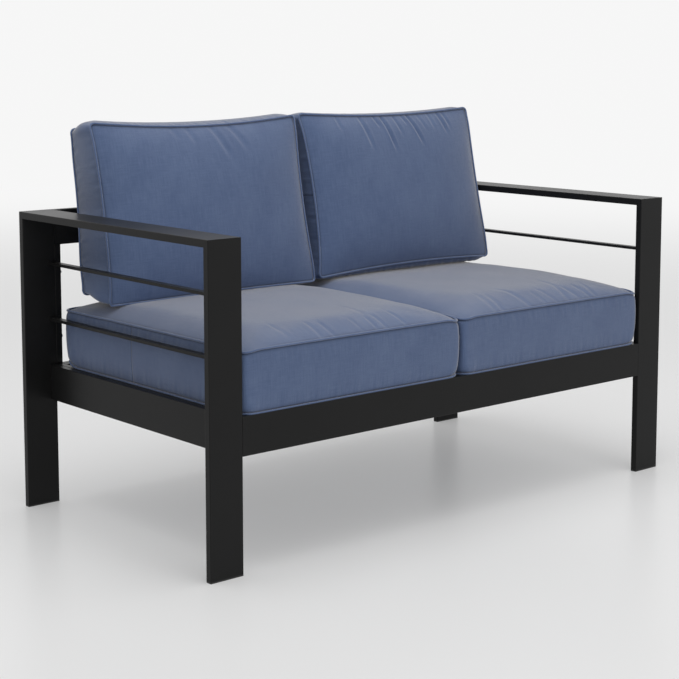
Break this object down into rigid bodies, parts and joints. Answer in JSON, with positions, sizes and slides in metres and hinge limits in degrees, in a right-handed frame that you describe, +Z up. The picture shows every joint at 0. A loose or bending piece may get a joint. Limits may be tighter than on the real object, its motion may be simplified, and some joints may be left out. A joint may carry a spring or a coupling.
{
  "type": "patio loveseat",
  "caption": "Outdoor loveseat with a slim black flat-tube steel frame, open slab-sided arms with thin bars, and loose blue box cushions on the seat and back.",
  "frame": {"origin": "on the floor, in the middle of the footprint of the four legs", "axes": "+X towards the right arm as one faces the front, along the seat; +Y from the front edge to the back; +Z up"},
  "size_m": [1.3, 0.68, 0.832],
  "materials": {
    "frame_paint": "satin",
    "glide_plastic": "matte",
    "zinc_steel": "satin",
    "cover_fabric": "matte",
    "cushion_filling": "matte",
    "zip_tape": "matte",
    "zip_slider_metal": "satin"
  },
  "bodies": {
    "frame": {"back_slat_1": "frame_paint", "back_slat_2": "frame_paint", "back_slat_3": "frame_paint", "back_slat_4": "frame_paint", "back_slat_5": "frame_paint", "back_top_rail": "frame_paint", "frame_bolts": "zinc_steel", "frame_washers": "zinc_steel", "front_rail": "frame_paint", "left_armrest": "frame_paint", "left_back_stile": "frame_paint", "left_front_foot_glide": "glide_plastic", "left_front_leg": "frame_paint", "left_lower_arm_bar": "frame_paint", "left_rear_foot_glide": "glide_plastic", "left_rear_leg": "frame_paint", "left_seat_end_bar": "frame_paint", "left_side_rail": "frame_paint", "left_upper_arm_bar": "frame_paint", "rear_rail": "frame_paint", "right_armrest": "frame_paint", "right_back_stile": "frame_paint", "right_front_foot_glide": "glide_plastic", "right_front_leg": "frame_paint", "right_lower_arm_bar": "frame_paint", "right_rear_foot_glide": "glide_plastic", "right_rear_leg": "frame_paint", "right_seat_end_bar": "frame_paint", "right_side_rail": "frame_paint", "right_upper_arm_bar": "frame_paint", "rivet_nuts": "zinc_steel", "seat_rear_bar": "frame_paint", "seat_slat_1": "frame_paint", "seat_slat_2": "frame_paint", "seat_slat_3": "frame_paint", "seat_slat_4": "frame_paint", "seat_slat_5": "frame_paint", "seat_slat_6": "frame_paint", "seat_slat_7": "frame_paint", "seat_slat_8": "frame_paint", "seat_slat_9": "frame_paint"},
    "left_seat_cushion": {"left_seat_cushion_cover": "cover_fabric", "left_seat_cushion_core": "cushion_filling", "left_seat_cushion_zip": "zip_tape"},
    "left_seat_cushion_zip_slider": {"left_seat_cushion_zip_slider": "zip_slider_metal"},
    "left_back_cushion": {"left_back_cushion_cover": "cover_fabric", "left_back_cushion_core": "cushion_filling", "left_back_cushion_zip": "zip_tape"},
    "left_back_cushion_zip_slider": {"left_back_cushion_zip_slider": "zip_slider_metal"},
    "right_seat_cushion": {"right_seat_cushion_cover": "cover_fabric", "right_seat_cushion_core": "cushion_filling", "right_seat_cushion_zip": "zip_tape"},
    "right_seat_cushion_zip_slider": {"right_seat_cushion_zip_slider": "zip_slider_metal"},
    "right_back_cushion": {"right_back_cushion_cover": "cover_fabric", "right_back_cushion_core": "cushion_filling", "right_back_cushion_zip": "zip_tape"},
    "right_back_cushion_zip_slider": {"right_back_cushion_zip_slider": "zip_slider_metal"}
  },
  "joints": [
    {"name": "left_seat_cushion_slide_out", "type": "slide", "parent": "frame", "child": "left_seat_cushion", "axis": [0, -1, 0], "range_m": [0, 0.66]},
    {"name": "left_seat_cushion_zip_run", "type": "slide", "parent": "left_seat_cushion", "child": "left_seat_cushion_zip_slider", "axis": [1, 0, 0], "range_m": [0, 0.454]},
    {"name": "left_back_cushion_lift", "type": "slide", "parent": "frame", "child": "left_back_cushion", "axis": [0, 0, 1], "range_m": [0, 0.45]},
    {"name": "left_back_cushion_zip_run", "type": "slide", "parent": "left_back_cushion", "child": "left_back_cushion_zip_slider", "axis": [-1, 0, 0], "range_m": [0, 0.455]},
    {"name": "right_seat_cushion_slide_out", "type": "slide", "parent": "frame", "child": "right_seat_cushion", "axis": [0, -1, 0], "range_m": [0, 0.66]},
    {"name": "right_seat_cushion_zip_run", "type": "slide", "parent": "right_seat_cushion", "child": "right_seat_cushion_zip_slider", "axis": [1, 0, 0], "range_m": [0, 0.454]},
    {"name": "right_back_cushion_lift", "type": "slide", "parent": "frame", "child": "right_back_cushion", "axis": [0, 0, 1], "range_m": [0, 0.45]},
    {"name": "right_back_cushion_zip_run", "type": "slide", "parent": "right_back_cushion", "child": "right_back_cushion_zip_slider", "axis": [-1, 0, 0], "range_m": [0, 0.455]}
  ]
}
